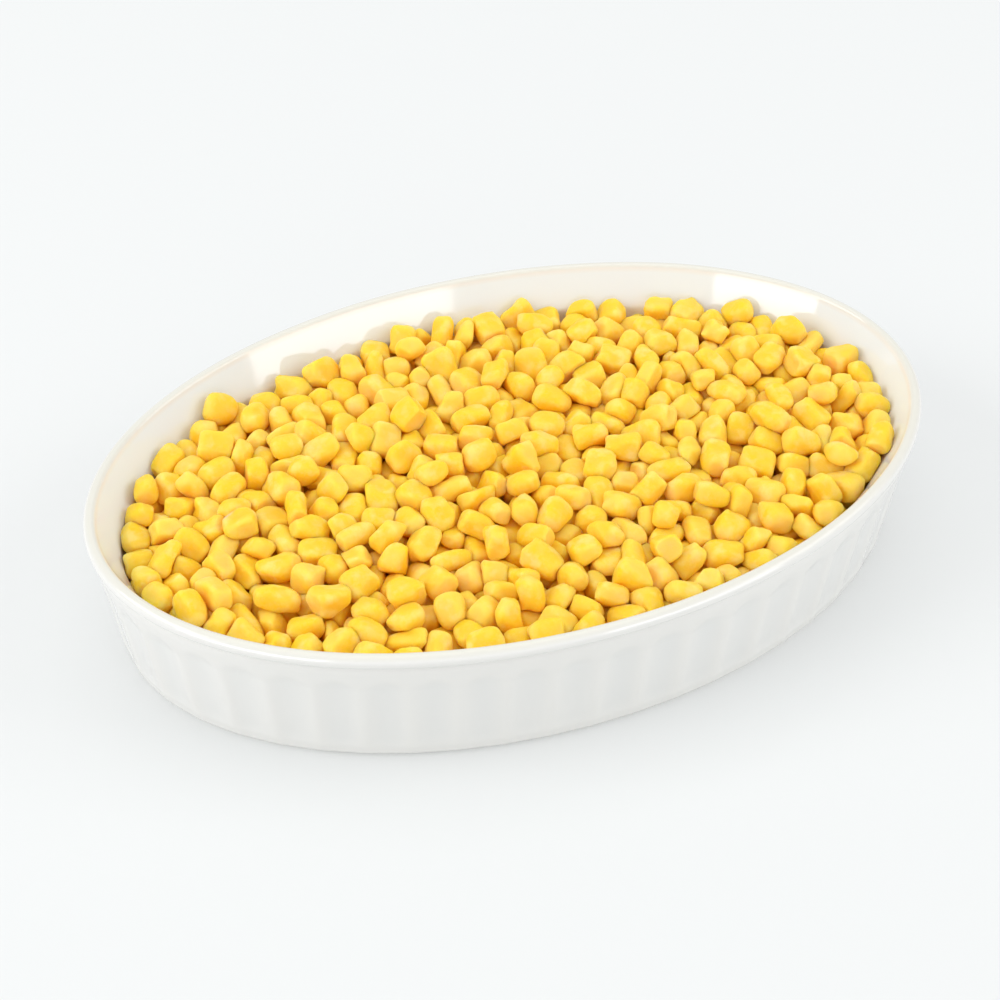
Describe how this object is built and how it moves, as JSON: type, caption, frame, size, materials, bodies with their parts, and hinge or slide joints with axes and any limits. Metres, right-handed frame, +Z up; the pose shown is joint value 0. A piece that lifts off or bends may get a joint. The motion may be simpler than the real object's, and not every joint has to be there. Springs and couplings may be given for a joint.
{
  "type": "dish of sweetcorn kernels",
  "caption": "Oval white glazed baking dish with a fluted wall and a rounded lip, filled with a low heap of loose yellow sweetcorn kernels.",
  "frame": {"origin": "middle of the underside of the dish, on the surface that it stands on", "axes": "+X along the long axis of the oval, +Y along its short axis, +Z up out of the dish"},
  "size_m": [0.24, 0.154, 0.043],
  "materials": {
    "dish_glaze": "white stoneware under a clear gloss glaze, with a bare ground foot ring",
    "corn": null
  },
  "bodies": {
    "root": {"dish": "dish_glaze", "corn_heap": "corn"}
  },
  "joints": []
}
